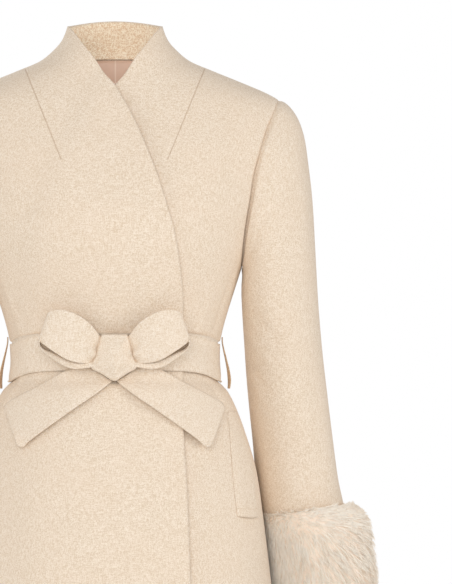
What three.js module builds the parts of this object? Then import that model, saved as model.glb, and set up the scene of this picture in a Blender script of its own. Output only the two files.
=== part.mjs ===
// A belted wrap coat in wool boucle with fur cuffs, hollow, in the form it has on its wearer.
// Millimetres, +Z up, -Y to the front, +X to the wearer's left. The origin is the middle of the
// neck base, level with the points where the shoulder seams meet the neck.
import * as THREE from "three";

// Driving dimensions
const WALL = 2.4; // coat cloth with the lining behind it
const SEAM = 0.4; // gap between two sewn pieces
const LAP = WALL + 1.2; // how far the upper front stands off the lower one, with air between them
const HEM_LAP = 2.5; // how much further it stands off at the hem
const LAP_START = 48; // it rises from this far outside the lower front's edge
const LAP_END = 7; // to this far
const SHOULDER = -47.5; // height of the shoulder tip
const UNDERARM = -257;
const ARMHOLE_POINTS = 24;
const COLLAR_TOP = 44.5; // at its front corners
const COLLAR_RISE = 7; // the collar's extra height at the centre back
const COLLAR_BASE = 4;
const HEM = -1040;
const FACING_BASE = 5.4;
const LINING_BASE = -150;
const FACING_WALL = 1.4;
const LINING_WALL = 1;
const INSIDE_GAP = 1.4; // between the back and the lining
const FACING_GAP = 0.7;
const BELT_WALL = 3;
const BELT_TOP = -337;
const BELT_BOTTOM = -386;
const BELT_DIP = 15.5; // how much lower it lies at the sides
const BELT_GAP = 1.2;
const BELT_DROP = [8, 45]; // past the wrap's edge it comes down to the lower front between these
const BOW_WALL = 3;
const CARRIER_WIDTH = 10;
const CARRIER_WALL = 1.6;
const WELT_GAP = 0.8;
const WELT_WALL = 2.6;
const FRONT_COLUMNS = 14;
const BACK_COLUMNS = 18;

// The coat's girth at each height: half its width, and its depth before and behind the side seams.
// square is the exponent that fills out the ellipse, 1 for a true one. Between the shoulder tip and
// the underarm the ellipse is wider than the coat, and the panels end on it at the armhole seam.
const BODY = [
  { z: 55, half: 57, front: 49, back: 54, square: 1 },
  { z: 42.5, half: 60, front: 51, back: 56, square: 1 },
  { z: 27.5, half: 66, front: 54, back: 58, square: 1 },
  { z: 12.5, half: 79, front: 58, back: 62, square: 1 },
  { z: 1, half: 93.5, front: 60, back: 66, square: 1 },
  { z: -10, half: 119, front: 62, back: 71, square: 1 },
  { z: -25, half: 156, front: 67, back: 78, square: 1 },
  { z: -40, half: 191, front: 72.5, back: 84, square: 0.98 },
  { z: -47.5, half: 204, front: 75.5, back: 87, square: 0.97 },
  { z: -60, half: 216, front: 80.5, back: 91, square: 0.96 },
  { z: -75, half: 220.5, front: 86.5, back: 95, square: 0.94 },
  { z: -100, half: 219.5, front: 97, back: 101, square: 0.92 },
  { z: -125, half: 210, front: 105.5, back: 105, square: 0.9 },
  { z: -150, half: 199.5, front: 113, back: 107, square: 0.88 },
  { z: -195, half: 181, front: 122, back: 108, square: 0.86 },
  { z: -230, half: 167.5, front: 121, back: 107, square: 0.86 },
  { z: -257, half: 158.5, front: 116, back: 104, square: 0.86 },
  { z: -285, half: 149.5, front: 110, back: 100, square: 0.86 },
  { z: -315, half: 140, front: 103, back: 96, square: 0.86 },
  { z: -335, half: 134.5, front: 99, back: 94, square: 0.86 },
  { z: -345, half: 132.3, front: 96.8, back: 91.8, square: 0.86 },
  { z: -348.5, half: 131.3, front: 96, back: 91, square: 0.86 },
  { z: -351, half: 127.9, front: 95.2, back: 90.2, square: 0.86 },
  { z: -372, half: 126.6, front: 94, back: 89, square: 0.86 },
  { z: -393, half: 128.6, front: 95.5, back: 90, square: 0.86 },
  { z: -400, half: 130.4, front: 98, back: 92.5, square: 0.86 },
  { z: -404, half: 134, front: 101, back: 95, square: 0.87 },
  { z: -411, half: 140.3, front: 105, back: 100, square: 0.87 },
  { z: -430, half: 150.3, front: 110, back: 108, square: 0.88 },
  { z: -462, half: 162.5, front: 117, back: 117, square: 0.88 },
  { z: -512, half: 177, front: 126, back: 126, square: 0.9 },
  { z: -570, half: 185.4, front: 132, back: 133, square: 0.9 },
  { z: -651, half: 195.3, front: 140, back: 142, square: 0.9 },
  { z: -800, half: 211, front: 151, back: 155, square: 0.92 },
  { z: -1040, half: 236, front: 167, back: 172, square: 0.93 },
];

// The armhole seam as it runs from the shoulder tip down to the underarm.
const ARMHOLE = [
  { z: -47.5, x: 204 },
  { z: -72, x: 195 },
  { z: -92, x: 188 },
  { z: -119, x: 180.6 },
  { z: -142, x: 175 },
  { z: -172.5, x: 170 },
  { z: -196, x: 166 },
  { z: -223, x: 162 },
  { z: -257, x: 158.5 },
];

// The right front's free edge: the collar corner, down the neck, and across to the left side.
const WRAP_EDGE = [
  { z: 44.5, x: -59.4 },
  { z: 35.5, x: -51 },
  { z: 17, x: -36 },
  { z: 4, x: -25.4 },
  { z: -16.5, x: -12 },
  { z: -30, x: 0 },
  { z: -47, x: 9.5 },
  { z: -78.5, x: 26 },
  { z: -112, x: 40.5 },
  { z: -142.5, x: 52.5 },
  { z: -182, x: 65.3 },
  { z: -212.5, x: 73.4 },
  { z: -254, x: 80 },
  { z: -308, x: 84 },
  { z: -462, x: 84 },
  { z: -527, x: 87.75 },
  { z: -652, x: 92.5 },
  { z: -1040, x: 99 },
];

// Heights of the panels' rows above the armhole and below it.
const NECK_ROWS = [44.5, 36, 27, 17, 10, 4, -2.5, -10, -18.5, -27.5, -37];
const SKIRT_ROWS = [
  -272, -290, -312, -335, -345, -348.5, -351, -372, -393, -400, -404, -411, -430, -462, -505, -560,
  -640, -760, -900, HEM,
];

// Soft flutes of the skirt, deepest at the hem: where round the hem, how deep and how wide.
const FLUTES = [
  { at: -52, depth: 5, width: 20 },
  { at: 6, depth: -3, width: 24 },
  { at: 56, depth: 4.5, width: 18 },
  { at: 128, depth: 5, width: 18 },
  { at: 172, depth: -4, width: 20 },
  { at: 226, depth: 5.5, width: 19 },
];
const FLUTE_START = -470;

// The sleeve's rings from the armhole to the wrist: the outermost and the innermost point of each,
// half its depth before and behind, and how far it hangs behind the side seam.
const SLEEVE = [
  { outX: 204, outZ: -47.5, inX: 158.5, inZ: -257, front: 63, back: 60, behind: 0 },
  { outX: 212, outZ: -51.5, inX: 158.7, inZ: -261, front: 64, back: 62, behind: 0 },
  { outX: 221, outZ: -59.5, inX: 158.7, inZ: -266, front: 64, back: 63, behind: 0 },
  { outX: 229.5, outZ: -73, inX: 158.5, inZ: -272, front: 63, back: 65, behind: 1 },
  { outX: 236, outZ: -96, inX: 158, inZ: -280, front: 63, back: 65, behind: 2 },
  { outX: 242, outZ: -130, inX: 158, inZ: -290, front: 62, back: 64, behind: 4 },
  { outX: 247, outZ: -175, inX: 158.5, inZ: -303, front: 61, back: 63, behind: 7 },
  { outX: 250.5, outZ: -235, inX: 159.5, inZ: -322, front: 59, back: 61, behind: 12 },
  { outX: 254, outZ: -298, inX: 161.5, inZ: -352, front: 57, back: 59, behind: 17 },
  { outX: 259, outZ: -358, inX: 164, inZ: -390, front: 56, back: 57, behind: 23 },
  { outX: 265.5, outZ: -415, inX: 167.5, inZ: -430, front: 55, back: 56, behind: 30 },
  { outX: 272, outZ: -468, inX: 172, inZ: -474, front: 54, back: 55, behind: 37 },
  { outX: 279, outZ: -520, inX: 176, inZ: -520, front: 53.5, back: 54.5, behind: 43 },
  { outX: 287, outZ: -560, inX: 181.5, inZ: -562, front: 53, back: 54, behind: 48 },
  { outX: 291, outZ: -600, inX: 190.5, inZ: -602, front: 53, back: 54, behind: 52 },
  { outX: 293.5, outZ: -648, inX: 195.5, inZ: -649, front: 53, back: 54, behind: 55 },
  { outX: 294, outZ: -693, inX: 199.5, inZ: -694, front: 53, back: 54, behind: 57 },
];

// The fur's outer surface, ring by ring, from its upper lip to its lower one.
const FUR = [
  { outX: 297, outZ: -552, inX: 181, inZ: -565, front: 60, back: 61, behind: 49 },
  { outX: 311, outZ: -561, inX: 181, inZ: -572, front: 69, back: 70, behind: 50 },
  { outX: 321, outZ: -581, inX: 183.5, inZ: -588, front: 74, back: 75, behind: 52 },
  { outX: 325, outZ: -612, inX: 188, inZ: -616, front: 76, back: 77, behind: 54 },
  { outX: 330, outZ: -644, inX: 191.5, inZ: -646, front: 77, back: 78, behind: 56 },
  { outX: 329, outZ: -676, inX: 194.5, inZ: -677, front: 75, back: 76, behind: 57 },
  { outX: 320, outZ: -698, inX: 197.5, inZ: -698, front: 68, back: 69, behind: 58 },
];
const FUR_SKIN_TOP = 4; // how far the cuff's skin starts below its upper lip
const FUR_SKIN_BOTTOM = -692; // and where it ends on the sleeve
const FUR_GAP = 0.8;

// The knot's outline from top to bottom, and its swell.
const KNOT = [
  { z: -340, left: -15.5, right: 16 },
  { z: -350, left: -18.6, right: 19 },
  { z: -360, left: -21.7, right: 21.8 },
  { z: -370.5, left: -25.2, right: 24.9 },
  { z: -381, left: -29, right: 28 },
  { z: -389.5, left: -15.5, right: 15 },
  { z: -398, left: -2, right: 2.4 },
];
const KNOT_BACK = 106.2; // how far before the side seams its underside lies
const KNOT_EDGE = 17;
const KNOT_CROWN = 9;

// A loop of the bow, from the knot out along its upper layer, round the fold and back beneath.
// Each row is a line across the band: its upper and its lower edge, and how far forward it stands.
const LOOP = [
  { topX: 18, topZ: -342.5, lowX: 28, lowZ: -375, out: 120 },
  { topX: 31, topZ: -326.5, lowX: 41, lowZ: -375.5, out: 128 },
  { topX: 47, topZ: -315.5, lowX: 58, lowZ: -371.5, out: 130 },
  { topX: 63, topZ: -310, lowX: 78, lowZ: -362, out: 128 },
  { topX: 76, topZ: -310.5, lowX: 91, lowZ: -354.5, out: 124 },
  { topX: 82, topZ: -314, lowX: 94, lowZ: -351.5, out: 119 },
  { topX: 77, topZ: -313, lowX: 91, lowZ: -356, out: 114.5 },
  { topX: 64, topZ: -315, lowX: 79, lowZ: -366.5, out: 113 },
  { topX: 42, topZ: -330, lowX: 55, lowZ: -382, out: 113 },
  { topX: 19.5, topZ: -346, lowX: 29.8, lowZ: -381, out: 113 },
];

// An end of the belt, from the knot down to its slanting tip, and how far it stands off the coat.
const TAIL = [
  { topX: 28.3, topZ: -382, lowX: 2.9, lowZ: -398.3, off: 7.6 },
  { topX: 44, topZ: -382, lowX: 26, lowZ: -416, off: 7.6 },
  { topX: 61, topZ: -386, lowX: 47, lowZ: -430, off: 7.2 },
  { topX: 81, topZ: -397, lowX: 69, lowZ: -445.5, off: 5.2 },
  { topX: 102, topZ: -408, lowX: 92, lowZ: -462, off: 4 },
  { topX: 120, topZ: -417.5, lowX: 107, lowZ: -473.5, off: 3.6 },
  { topX: 131.5, topZ: -424, lowX: 114, lowZ: -480, off: 3.8 },
  { topX: 137, topZ: -431, lowX: 121, lowZ: -477.5, off: 4 },
];

// A belt carrier, from the side seam above the belt to the one below it. twist is how much further
// out its front edge lies than its back edge.
const CARRIER = [
  { x: 134, z: -344, twist: 0 },
  { x: 134.2, z: -351, twist: 0.3 },
  { x: 136.2, z: -361, twist: 1 },
  { x: 139, z: -373, twist: 1.8 },
  { x: 141.7, z: -386, twist: 2.8 },
  { x: 143, z: -398, twist: 3.4 },
  { x: 142.4, z: -408, twist: 2.4 },
];

// A pocket welt: where its inner edge is across the coat, and its outer one round it, in degrees.
const WELT = [
  { z: -430, x: 141.5, turn: 81 },
  { z: -460, x: 143, turn: 79.5 },
  { z: -497, x: 145.5, turn: 77.5 },
  { z: -532, x: 148.5, turn: 75.5 },
  { z: -566.6, x: 152.5, turn: 73.5 },
];

const CLOTH = { color: 0xe9d6bf, roughness: 0.95, metalness: 0 };
const FACING_CLOTH = { color: 0xdcc2a4, roughness: 0.95, metalness: 0 };
const SATIN = { color: 0xc2a087, roughness: 0.45, metalness: 0 };
const FUR_PILE = { color: 0xe8d4c2, roughness: 1, metalness: 0 };

const { degToRad, smoothstep, lerp, clamp } = THREE.MathUtils;
const count = (n) => Array.from({ length: n }, (_, i) => i);

// A smooth curve through one column of a table, read at a height. It never overshoots its rows.
function curve(table, key) {
  const rows = [...table].sort((a, b) => a.z - b.z);
  const slopes = rows.slice(1).map((r, i) => (r[key] - rows[i][key]) / (r.z - rows[i].z));
  const tangents = rows.map((_, i) => {
    const before = slopes[Math.max(i - 1, 0)];
    const after = slopes[Math.min(i, slopes.length - 1)];
    return before * after <= 0 ? 0 : (2 * before * after) / (before + after);
  });
  return (z) => {
    const found = rows.findIndex((r) => r.z > z);
    const i = clamp(found < 0 ? rows.length - 2 : found - 1, 0, rows.length - 2);
    const span = rows[i + 1].z - rows[i].z;
    const t = clamp((z - rows[i].z) / span, 0, 1);
    const s = t * t * (3 - 2 * t);
    const bend = span * t * (1 - t) * ((1 - t) * tangents[i] - t * tangents[i + 1]);
    return lerp(rows[i][key], rows[i + 1][key], s) + bend;
  };
}

const halfAt = curve(BODY, "half");
const frontAt = curve(BODY, "front");
const backAt = curve(BODY, "back");
const squareAt = curve(BODY, "square");
const armholeAt = curve(ARMHOLE, "x");
const edgeAt = curve(WRAP_EDGE, "x");
const weltAt = curve(WELT, "x");
const weltTurnAt = curve(WELT, "turn");

// The coat's section at a height, for its front or its back half, with the angle from the centre
// at which the half ends: at the side seam, or at the armhole.
function section(z, behind) {
  const half = halfAt(z);
  const square = squareAt(z);
  const held = z <= SHOULDER && z >= UNDERARM ? Math.min(armholeAt(z) / half, 1) : 1;
  const seam = Math.asin(Math.pow(held, 1 / square));
  return { half, depth: behind ? backAt(z) : frontAt(z), square, seam };
}

// How far the skirt's flutes stand out at an angle round the coat, in radians from the front.
function flute(angle, z) {
  const grown = smoothstep(FLUTE_START - z, 0, FLUTE_START - HEM);
  const round = FLUTES.reduce((sum, f) => {
    const off = Math.atan2(Math.sin(angle - degToRad(f.at)), Math.cos(angle - degToRad(f.at)));
    return sum + f.depth * Math.exp(-Math.pow(off / degToRad(f.width), 2));
  }, 0);
  return grown * round * Math.pow(Math.cos(angle), 2);
}

// A point of the coat's outer surface: angle 0 is the centre front and 90 degrees the wearer's left.
function surface(angle, z) {
  const s = section(z, Math.cos(angle) < 0);
  const power = (v) => Math.sign(v) * Math.pow(Math.abs(v), s.square);
  const swell = 1 + flute(angle, z) / s.depth;
  return new THREE.Vector3(
    s.half * power(Math.sin(angle)) * swell,
    -s.depth * power(Math.cos(angle)) * swell,
    z,
  );
}

// The same point moved out along the surface's normal.
function coat(angle, z, out) {
  const turn = 0.01;
  const step = 1.5;
  const round = surface(angle + turn, z).sub(surface(angle - turn, z));
  const down = surface(angle, z - step).sub(surface(angle, z + step));
  const normal = down.cross(round).normalize();
  return surface(angle, z).addScaledVector(normal, out);
}

// The angle at which the front half of the coat is at x.
function angleAt(x, z) {
  const s = section(z, false);
  const sine = Math.min(Math.pow(Math.abs(x) / s.half, 1 / s.square), 1);
  return Math.sign(x) * Math.asin(sine);
}

// How much of the lap the right front has at x: all of it over the left front, none at its side.
function lapAt(x, z) {
  const full = LAP + HEM_LAP * smoothstep(FLUTE_START - z, 0, FLUTE_START - HEM);
  return full * smoothstep(x + edgeAt(z), -LAP_START, -LAP_END);
}

// How far the coat's outermost layer stands out at an angle. It falls off past the wrap's edge.
function layersAt(angle, z) {
  const x = surface(angle, z).x;
  return Math.cos(angle) > 0 ? lapAt(x, z) * (1 - smoothstep(x - edgeAt(z), ...BELT_DROP)) : 0;
}

const armholeRows = count(ARMHOLE_POINTS / 2 + 1).map((i) => {
  const middle = (SHOULDER + UNDERARM) / 2;
  return middle + (SHOULDER - middle) * Math.cos((i * 2 * Math.PI) / ARMHOLE_POINTS);
});
const PANEL_ROWS = [...NECK_ROWS, ...armholeRows, ...SKIRT_ROWS];

// A closed wall between an outer and an inner grid of points, as rows from the top down.
// A ring's rows close on themselves, and a panel's end in two side edges.
function wall(outer, inner, ring = false) {
  const columns = outer[0].length;
  const rows = outer.length;
  const points = [...outer.flat(), ...inner.flat()];
  const id = (layer, r, c) => layer * rows * columns + r * columns + (c % columns);
  const index = [];
  const quad = (a, b, c, d) => index.push(a, b, c, a, c, d);
  const across = ring ? columns : columns - 1;
  for (let r = 0; r < rows - 1; r++) {
    for (let c = 0; c < across; c++) {
      quad(id(0, r, c), id(0, r + 1, c), id(0, r + 1, c + 1), id(0, r, c + 1));
      quad(id(1, r, c), id(1, r, c + 1), id(1, r + 1, c + 1), id(1, r + 1, c));
    }
  }
  for (let c = 0; c < across; c++) {
    quad(id(0, 0, c), id(0, 0, c + 1), id(1, 0, c + 1), id(1, 0, c));
    quad(id(0, rows - 1, c), id(1, rows - 1, c), id(1, rows - 1, c + 1), id(0, rows - 1, c + 1));
  }
  for (let r = 0; r < rows - 1 && !ring; r++) {
    const last = columns - 1;
    quad(id(0, r, 0), id(1, r, 0), id(1, r + 1, 0), id(0, r + 1, 0));
    quad(id(0, r, last), id(0, r + 1, last), id(1, r + 1, last), id(1, r, last));
  }
  const geometry = new THREE.BufferGeometry();
  geometry.setAttribute("position", new THREE.Float32BufferAttribute(points.flatMap((p) => p.toArray()), 3));
  geometry.setIndex(index);
  geometry.computeVertexNormals();
  return geometry;
}

// The other hand of a grid of points, its columns turned round so that it still faces out.
const mirrored = (grid) =>
  grid.map((row) => row.map((p) => new THREE.Vector3(-p.x, p.y, p.z)).reverse());

// A grid of points moved along its own normals.
function offset(grid, distance, ring = false) {
  const last = grid[0].length - 1;
  const wrap = (c) => (c + last + 1) % (last + 1);
  const side = (c, step) => (ring ? wrap(c + step) : clamp(c + step, 0, last));
  return grid.map((row, r) =>
    row.map((p, c) => {
      const above = grid[Math.max(r - 1, 0)][c];
      const below = grid[Math.min(r + 1, grid.length - 1)][c];
      const down = below.clone().sub(above);
      const round = row[side(c, 1)].clone().sub(row[side(c, -1)]);
      return p.clone().addScaledVector(down.cross(round).normalize(), distance);
    }),
  );
}

// A band of cloth between two edges, each a list of points, with its thickness half to each side.
function band(topEdge, lowEdge, thick, steps, across) {
  const top = new THREE.CatmullRomCurve3(topEdge);
  const low = new THREE.CatmullRomCurve3(lowEdge);
  const middle = count(steps + 1).map((r) =>
    count(across + 1).map((c) => top.getPoint(r / steps).lerp(low.getPoint(r / steps), c / across)),
  );
  return [offset(middle, thick / 2), offset(middle, -thick / 2)];
}

const coatGroup = new THREE.Group();
coatGroup.name = "belted_wrap_coat";

function add(name, finish, outer, inner, ring) {
  const mesh = new THREE.Mesh(wall(outer, inner, ring), new THREE.MeshStandardMaterial(finish));
  mesh.name = name;
  coatGroup.add(mesh);
}

function addPair(name, finish, outer, inner, ring) {
  add(name + "_left", finish, outer, inner, ring);
  add(name + "_right", finish, mirrored(outer), mirrored(inner), ring);
}

// Fronts: each runs from its side seam or armhole to its free edge. The right one laps over.
function frontPoints(side, out, lapped) {
  return PANEL_ROWS.map((z) => {
    const seam = section(z, false).seam;
    const edge = angleAt(edgeAt(z), z);
    return count(FRONT_COLUMNS + 1).map((c) => {
      const angle = lerp(-seam, edge, c / FRONT_COLUMNS);
      const point = coat(angle, z, out + (lapped ? lapAt(surface(angle, z).x, z) : 0));
      point.y = Math.min(point.y, -SEAM / 2);
      if (side === "left") point.x = -point.x;
      return point;
    });
  }).map((row) => (side === "left" ? row.reverse() : row));
}
add("front_right", CLOTH, frontPoints("right", 0, true), frontPoints("right", -WALL, true));
add("front_left", CLOTH, frontPoints("left", 0, false), frontPoints("left", -WALL, false));

// Back: one panel with its grown-on collar, which rises a little at the centre.
function backPoints(out) {
  return PANEL_ROWS.map((row) => {
    const seam = section(row, true).seam;
    return count(BACK_COLUMNS + 1).map((c) => {
      const angle = lerp(Math.PI - seam, Math.PI + seam, 1 - c / BACK_COLUMNS);
      const rise = COLLAR_RISE * clamp((row - COLLAR_BASE) / (COLLAR_TOP - COLLAR_BASE), 0, 1);
      const z = row + rise * Math.pow(Math.cos(angle), 2);
      const point = coat(angle, z, out);
      point.y = Math.max(point.y, SEAM / 2);
      return point;
    }).reverse();
  });
}
add("back", CLOTH, backPoints(0), backPoints(-WALL));

// Inside of the back collar, in the coat's own cloth, and the satin lining that hangs below it.
function insideBack(from, to, inset, gap, thick) {
  const depth = WALL + gap;
  const rows = [from, ...PANEL_ROWS.filter((z) => z < from - 2 && z > to + 2), to];
  const points = (out) =>
    rows.map((row) => {
      const seam = section(row, true).seam;
      return count(BACK_COLUMNS - 3).map((c) => {
        const part = lerp(-1, 1, c / (BACK_COLUMNS - 4));
        const angle = Math.PI + part * (seam - degToRad(inset));
        const rise = COLLAR_RISE * clamp((row - COLLAR_BASE) / (COLLAR_TOP - COLLAR_BASE), 0, 1);
        return coat(angle, row + rise * Math.pow(Math.cos(angle), 2), out);
      });
    });
  return [points(-depth), points(-depth - thick)];
}
const facingFaces = insideBack(COLLAR_TOP - 1, FACING_BASE, 4, FACING_GAP, FACING_WALL);
add("back_neck_facing", FACING_CLOTH, ...facingFaces);
const liningFaces = insideBack(FACING_BASE - INSIDE_GAP, LINING_BASE, 12, INSIDE_GAP, LINING_WALL);
add("back_lining", SATIN, ...liningFaces);

// Sleeves: rings of an ellipse, but the first is the armhole itself, and the next ones ease from it.
function ringPoints(row) {
  return count(ARMHOLE_POINTS).map((i) => {
    const angle = (i * 2 * Math.PI) / ARMHOLE_POINTS;
    const out = (1 + Math.cos(angle)) / 2;
    const depth = Math.sin(angle) < 0 ? row.front : row.back;
    return new THREE.Vector3(
      lerp(row.inX, row.outX, out),
      row.behind + depth * Math.sin(angle),
      lerp(row.inZ, row.outZ, out),
    );
  });
}

function armholePoints() {
  return count(ARMHOLE_POINTS).map((i) => {
    const behind = i < ARMHOLE_POINTS / 2;
    const z = armholeRows[behind ? i : ARMHOLE_POINTS - i];
    const seam = section(z, behind).seam;
    const point = surface(behind ? Math.PI - seam : seam, z);
    return point.setX(point.x + SEAM + 0.1);
  });
}

const EASE_ROWS = 5;
const eased = armholePoints().map((p, i) => p.sub(ringPoints(SLEEVE[0])[i]));
const sleeveOuter = SLEEVE.map((row, r) =>
  ringPoints(row).map((p, i) => p.addScaledVector(eased[i], Math.pow(Math.max(1 - r / EASE_ROWS, 0), 1.5))),
);
addPair("sleeve", CLOTH, sleeveOuter, offset(sleeveOuter, -WALL, true), true);

// Fur cuffs: each lies round the sleeve's lower end, and reaches out as far as its pile does.
const sleeveSkin = offset(sleeveOuter, FUR_GAP, true);
function sleeveAt(i, z) {
  const r = sleeveSkin.findIndex((row) => row[i].z < z);
  const a = sleeveSkin[r - 1][i];
  const b = sleeveSkin[r][i];
  return a.clone().lerp(b, (z - a.z) / (b.z - a.z));
}
const furOuter = FUR.map((row) => ringPoints(row));
const furInner = FUR.map((row, r) => {
  const share = r / (FUR.length - 1);
  return count(ARMHOLE_POINTS).map((i) =>
    sleeveAt(i, lerp(furOuter[0][i].z - FUR_SKIN_TOP, FUR_SKIN_BOTTOM, share)),
  );
});
addPair("fur_cuff", FUR_PILE, furOuter, furInner, true);

// Belt: a flat band round the waist, over both fronts, dipping a little at the sides.
const BELT_POINTS = 64;
function beltPoints(out) {
  const dip = (angle) => Math.pow(Math.sin(angle), 6);
  return [BELT_TOP, BELT_BOTTOM].map((height) =>
    count(BELT_POINTS).map((i) => {
      const angle = (i * 2 * Math.PI) / BELT_POINTS;
      const z = height - BELT_DIP * dip(angle);
      return coat(angle, z, layersAt(angle, z) + BELT_GAP + out);
    }),
  );
}
add("belt_band", CLOTH, beltPoints(BELT_WALL), beltPoints(0), true);

// Knot: a crowned pad of wrapped cloth, with its back flat on the belt.
const KNOT_COLUMNS = 8;
function knotPoints(swell) {
  return KNOT.map((row, r) =>
    count(KNOT_COLUMNS + 1).map((c) => {
      const across = (2 * c) / KNOT_COLUMNS - 1;
      const along = (2 * r) / (KNOT.length - 1) - 1;
      const crown = KNOT_CROWN * (1 - Math.pow(across, 2)) * (1 - 0.6 * Math.pow(along, 2));
      const x = lerp(row.left, row.right, (across + 1) / 2);
      return new THREE.Vector3(x, -KNOT_BACK - swell * (KNOT_EDGE + crown), row.z);
    }),
  );
}
add("belt_knot", CLOTH, knotPoints(1), knotPoints(0));

// Loops and ends of the bow.
const edges = (rows, y) => [
  rows.map((r) => new THREE.Vector3(r.topX, y(r, r.topX, r.topZ), r.topZ)),
  rows.map((r) => new THREE.Vector3(r.lowX, y(r, r.lowX, r.lowZ), r.lowZ)),
];
const LOOP_STEPS = 27;
const LOOP_COLUMNS = 4;
const loopEdges = edges(LOOP, (r) => -r.out);
addPair("belt_loop", CLOTH, ...band(...loopEdges, BOW_WALL, LOOP_STEPS, LOOP_COLUMNS));

const TAIL_STEPS = 12;
const TAIL_COLUMNS = 5;
function tailPoints(out) {
  const [top, low] = edges(TAIL, (r) => r.off).map((edge) => new THREE.CatmullRomCurve3(edge));
  return count(TAIL_STEPS + 1).map((r) =>
    count(TAIL_COLUMNS + 1).map((c) => {
      const p = top.getPoint(r / TAIL_STEPS).lerp(low.getPoint(r / TAIL_STEPS), c / TAIL_COLUMNS);
      return p.setY(surface(angleAt(p.x, p.z), p.z).y - LAP - p.y - out);
    }),
  );
}
addPair("belt_tail", CLOTH, tailPoints(0), tailPoints(BOW_WALL));

// Carriers: thin flat loops down each side seam, clear of the belt.
const carrierEdge = (side) =>
  CARRIER.map((r) => new THREE.Vector3(r.x - (side * r.twist) / 2, (side * CARRIER_WIDTH) / 2, r.z));
const CARRIER_STEPS = 12;
const carrierFaces = band(carrierEdge(-1), carrierEdge(1), CARRIER_WALL, CARRIER_STEPS, 1);
addPair("belt_carrier", CLOTH, ...carrierFaces);

// Pocket welts: slanting flaps sewn flat on the fronts.
const WELT_ROWS = 7;
const WELT_COLUMNS = 4;
function weltPoints(out) {
  return count(WELT_ROWS + 1).map((r) => {
    const z = lerp(WELT[0].z, WELT.at(-1).z, r / WELT_ROWS);
    const inner = angleAt(weltAt(z), z);
    const outer = degToRad(weltTurnAt(z));
    return count(WELT_COLUMNS + 1).map((c) =>
      coat(lerp(inner, outer, c / WELT_COLUMNS), z, WELT_GAP + out),
    );
  });
}
addPair("pocket_welt", CLOTH, weltPoints(WELT_WALL), weltPoints(0));

export default coatGroup;
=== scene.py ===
"""A belted wrap coat in wool boucle with fur cuffs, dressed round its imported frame.

Blender works in metres. The tables and sizes below are millimetres, as a pattern cutter writes
them, and add_piece turns them to metres. Angles round the coat are 0 at the centre front and 90
degrees at the wearer's left side.
"""
import math
import bpy
import numpy as np
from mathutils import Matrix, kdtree


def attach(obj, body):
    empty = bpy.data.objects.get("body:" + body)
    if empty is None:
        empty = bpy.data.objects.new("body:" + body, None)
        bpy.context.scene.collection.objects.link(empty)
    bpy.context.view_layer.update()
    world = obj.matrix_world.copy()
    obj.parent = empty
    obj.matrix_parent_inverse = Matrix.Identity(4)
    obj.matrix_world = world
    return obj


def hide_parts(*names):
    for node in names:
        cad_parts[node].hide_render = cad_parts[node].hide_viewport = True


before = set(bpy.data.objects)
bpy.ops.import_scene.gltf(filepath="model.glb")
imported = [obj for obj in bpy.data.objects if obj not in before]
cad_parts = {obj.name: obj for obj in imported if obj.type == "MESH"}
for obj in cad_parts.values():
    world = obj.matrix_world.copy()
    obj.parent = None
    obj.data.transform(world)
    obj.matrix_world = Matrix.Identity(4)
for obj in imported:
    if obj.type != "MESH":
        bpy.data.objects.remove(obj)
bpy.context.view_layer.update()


# --- Fronts ---------------------------------------------------------------------------------------
# Two fronts of wool boucle, each cut in one with its half of the funnel collar. The right one laps
# over the left. A dart from the shoulder seam shapes each, the free edge is faced with the same
# cloth, and satin lines the rest.

MM = 0.001  # one millimetre in metres
WALL = 2.4  # cloth, interlining and lining together
SEAM = 0.4  # the gap between the edges of two sewn pieces
LAP = WALL + 1.2  # how far the right front stands off the left one
HEM_LAP = 2.5  # how much further it stands off at the hem
LAP_START = 48  # the right front comes down to its own side between these two distances
LAP_END = 7  # beyond the left front's free edge
COLLAR_TOP = 44.5  # this height and the next ones count from the base of the neck
SHOULDER = -47.5
UNDERARM = -257
BELT_TOP = -337
BELT_BOTTOM = -386
FLUTE_START = -470
HEM = -1040
HEM_TURN = 45
FACING_WIDTH = 75
FRONT_COLUMNS = 84  # points across a front
BODY_RADIUS = 140  # turns an angle round the body into a length along it
BELT_DIP = 15.5  # how much lower the belt lies at the sides than at the centre
BELT_BITE = 1.6  # how far the cloth bulges over the belt's upper edge before it is held
BLOUSE = 0.7  # how far the cloth bags out over the belt's upper edge
WAIST = (-393, -355)  # between these heights the coat has the girth that the belt holds it to
DART = {"top": (112, -9), "point": (66.5, -122)}
DART_DEPTH = 0.7  # of the valley that its seam presses into the cloth
DART_SPREAD = 2.6
ARMHOLE_DEPTH = 2.2  # how far the cloth sinks along the sleeve's seam


def table(text):
    """A short table with named columns, and its rows' numbers as one more column."""
    head, *rows = [line.split() for line in text.strip().splitlines()]
    columns = {name: np.array([float(row[i]) for row in rows]) for i, name in enumerate(head)}
    columns["row"] = np.arange(len(rows), dtype=float)
    return columns


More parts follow.
